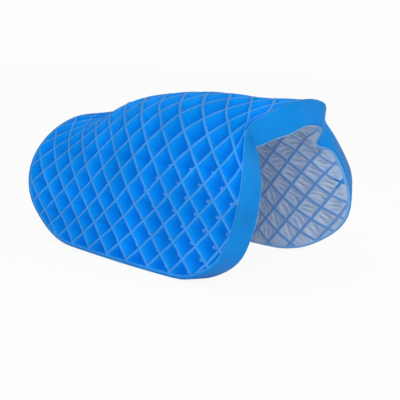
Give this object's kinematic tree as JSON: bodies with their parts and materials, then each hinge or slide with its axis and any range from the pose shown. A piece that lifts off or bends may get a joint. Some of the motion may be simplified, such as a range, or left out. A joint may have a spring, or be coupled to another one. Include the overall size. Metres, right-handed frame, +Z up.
{
  "type": "soft rubber lattice curry mitt",
  "caption": "Soft blue rubber curry mitt: a deep open diamond lattice inside a smooth rim, lined with thin grey film and folded over so that a hand fits under it.",
  "frame": {"origin": "on the floor, under the middle of the mitt's bounding box", "axes": "+X along the fold from the dipped left end to the open right end, +Y from the front flap towards the back flap, +Z up from the floor to the crown"},
  "size_m": [0.1682, 0.1372, 0.0848],
  "materials": {
    "lattice_rubber": "satin, slightly translucent",
    "liner_film": "satin, wrinkled"
  },
  "bodies": {
    "crown": {"lattice_crown": "lattice_rubber", "liner_crown": "liner_film"},
    "front_flap": {"lattice_front_flap": "lattice_rubber", "liner_front_flap": "liner_film"},
    "front_shoulder_lower": {"lattice_front_shoulder_lower": "lattice_rubber", "liner_front_shoulder_lower": "liner_film"},
    "front_shoulder_upper": {"lattice_front_shoulder_upper": "lattice_rubber", "liner_front_shoulder_upper": "liner_film"},
    "rear_shoulder_upper": {"lattice_rear_shoulder_upper": "lattice_rubber", "liner_rear_shoulder_upper": "liner_film"},
    "rear_shoulder_lower": {"lattice_rear_shoulder_lower": "lattice_rubber", "liner_rear_shoulder_lower": "liner_film"},
    "back_flap": {"lattice_back_flap": "lattice_rubber", "liner_back_flap": "liner_film"}
  },
  "joints": [
    {"name": "front_shoulder_bend", "type": "hinge", "parent": "crown", "child": "front_shoulder_upper", "pos_m": [-0.00189, -0.01832, 0.08291], "axis": [-0.9782, 0.1651, -0.1261], "range_deg": [0, 29]},
    {"name": "front_middle_bend", "type": "hinge", "parent": "front_shoulder_upper", "child": "front_shoulder_lower", "pos_m": [-0.00359, -0.03569, 0.07415], "axis": [-0.9793, 0.1811, -0.09], "range_deg": [0, 21.5]},
    {"name": "front_flap_bend", "type": "hinge", "parent": "front_shoulder_lower", "child": "front_flap", "pos_m": [-0.00218, -0.04706, 0.0606], "axis": [-0.9841, 0.1712, -0.0472], "range_deg": [0, 29.3]},
    {"name": "rear_shoulder_bend", "type": "hinge", "parent": "crown", "child": "rear_shoulder_upper", "pos_m": [0.00214, 0.01122, 0.08021], "axis": [0.9883, -0.116, 0.0986], "range_deg": [0, 29]},
    {"name": "rear_middle_bend", "type": "hinge", "parent": "rear_shoulder_upper", "child": "rear_shoulder_lower", "pos_m": [0.00395, 0.02634, 0.07003], "axis": [0.9908, -0.1305, 0.035], "range_deg": [0, 19.2]},
    {"name": "back_flap_bend", "type": "hinge", "parent": "rear_shoulder_lower", "child": "back_flap", "pos_m": [0.00618, 0.04093, 0.06001], "axis": [0.9854, -0.1684, -0.0235], "range_deg": [0, 20.3]}
  ],
  "couplings": [
    {"joint": "front_middle_bend", "follows": "front_shoulder_bend", "ratio": 0.74},
    {"joint": "front_flap_bend", "follows": "front_shoulder_bend", "ratio": 1.01},
    {"joint": "rear_middle_bend", "follows": "rear_shoulder_bend", "ratio": 0.66},
    {"joint": "back_flap_bend", "follows": "rear_shoulder_bend", "ratio": 0.7}
  ]
}
